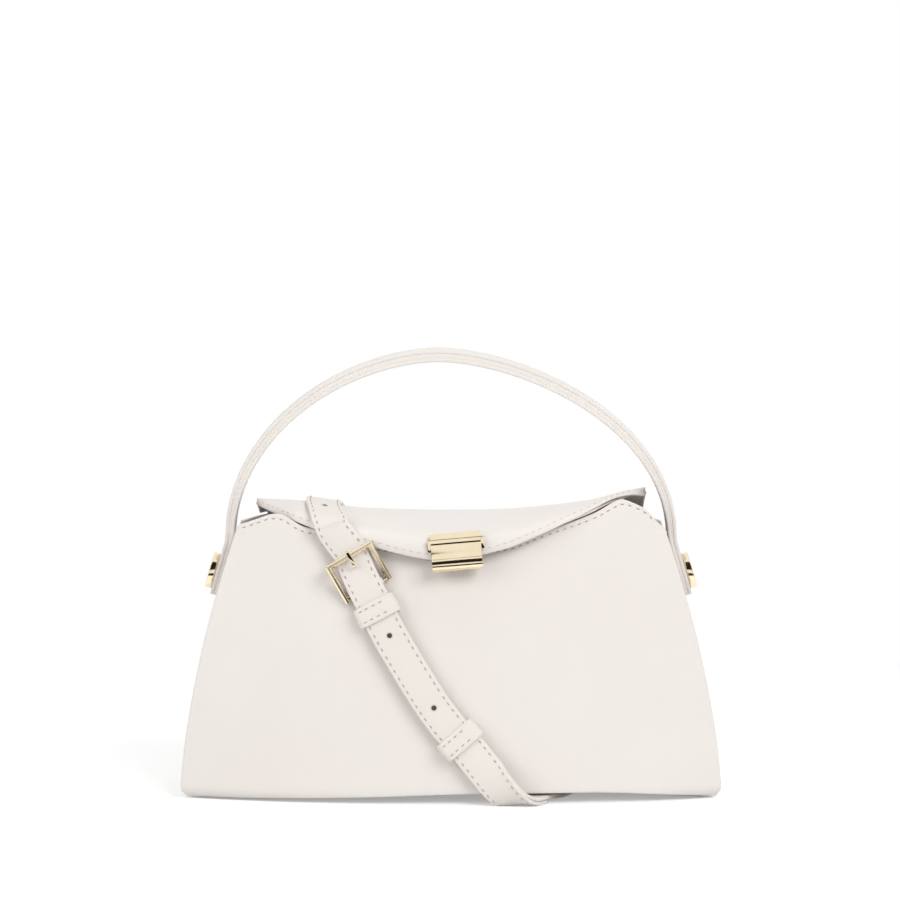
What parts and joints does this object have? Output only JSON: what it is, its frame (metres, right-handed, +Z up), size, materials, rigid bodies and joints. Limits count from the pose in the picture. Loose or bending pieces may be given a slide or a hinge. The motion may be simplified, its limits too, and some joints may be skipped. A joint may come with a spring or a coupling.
{
  "type": "top handle bag",
  "caption": "Structured top handle bag with a flap, a clasp, a stiff arched handle on studs and a buckled leather strap that runs down the front and behind the bag.",
  "frame": {"origin": "centre of the base on the floor", "axes": "+X to the bag's right as seen from the front, -Y towards the front with the clasp, +Z up"},
  "size_m": [0.2736, 0.1943, 0.2268],
  "materials": {
    "leather": "fine grain",
    "lining": "suede",
    "board": "pressed fibre board",
    "gold": "polished pale gold",
    "steel": "plain"
  },
  "bodies": {
    "bag": {"front_panel": "leather", "back_panel": "leather", "front_stiffener": "board", "back_stiffener": "board", "front_lining": "lining", "back_lining": "lining", "gusset_left": "leather", "gusset_right": "leather", "gusset_lining_left": "lining", "gusset_lining_right": "lining", "base_panel": "leather", "base_board": "board", "base_lining": "lining", "seat_plate": "gold", "seat_magnet": "steel", "grommet_left": "gold", "grommet_right": "gold", "strap_billet": "leather", "strap_tail": "leather", "heel_fold": "leather", "strap_rear": "leather", "buckle_frame": "gold", "keeper_fixed": "leather", "ring_tab_left": "leather", "ring_tab_right": "leather", "hook_left": "gold", "hook_right": "gold"},
    "flap": {"flap_leather": "leather", "flap_board": "board", "flap_lining": "leather", "clasp_cover": "gold", "clasp_base": "gold", "clasp_rivets": "steel", "clasp_magnet": "steel", "strap_over_flap": "leather"},
    "handle": {"handle_outer": "leather", "handle_inner": "leather", "handle_core": "board", "stud_left": "gold", "stud_right": "gold", "stud_nut_left": "steel", "stud_nut_right": "steel"},
    "slider": {"keeper_slide": "leather"},
    "ring_left_body": {"ring_left": "gold"},
    "ring_right_body": {"ring_right": "gold"},
    "gate_left_body": {"gate_left": "gold"},
    "gate_right_body": {"gate_right": "gold"},
    "prong": {"buckle_prong": "gold"}
  },
  "joints": [
    {"name": "flap_hinge", "type": "hinge", "parent": "bag", "child": "flap", "pos_m": [0, 0.026, 0.139], "axis": [-1, 0, 0], "range_deg": [0, 100]},
    {"name": "handle_swing", "type": "hinge", "parent": "bag", "child": "handle", "pos_m": [0, 0, 0.1115], "axis": [1, 0, 0], "range_deg": [-26, 26]},
    {"name": "keeper_travel", "type": "slide", "parent": "bag", "child": "slider", "axis": [-0.6565, 0.0984, 0.7478], "range_m": [0, 0.008]},
    {"name": "prong_pivot", "type": "hinge", "parent": "bag", "child": "prong", "pos_m": [-0.0419, -0.03646, 0.10702], "axis": [0.8655, 0.0847, 0.4937], "range_deg": [0, 1.5]},
    {"name": "ring_left_pivot", "type": "hinge", "parent": "bag", "child": "ring_left_body", "pos_m": [-0.08795, 0.03325, 0.112], "axis": [1, 0, 0], "range_deg": [-8, 3]},
    {"name": "ring_right_pivot", "type": "hinge", "parent": "bag", "child": "ring_right_body", "pos_m": [0.08795, 0.03325, 0.112], "axis": [1, 0, 0], "range_deg": [-8, 3]},
    {"name": "gate_left_pivot", "type": "hinge", "parent": "bag", "child": "gate_left_body", "pos_m": [-0.08795, 0.04724, 0.09548], "axis": [1, 0, 0], "range_deg": [0, 7], "stiffness_Nm_per_rad": 0.002, "springref_deg": -5.73},
    {"name": "gate_right_pivot", "type": "hinge", "parent": "bag", "child": "gate_right_body", "pos_m": [0.08795, 0.04724, 0.09548], "axis": [1, 0, 0], "range_deg": [0, 7], "stiffness_Nm_per_rad": 0.002, "springref_deg": -5.73}
  ]
}
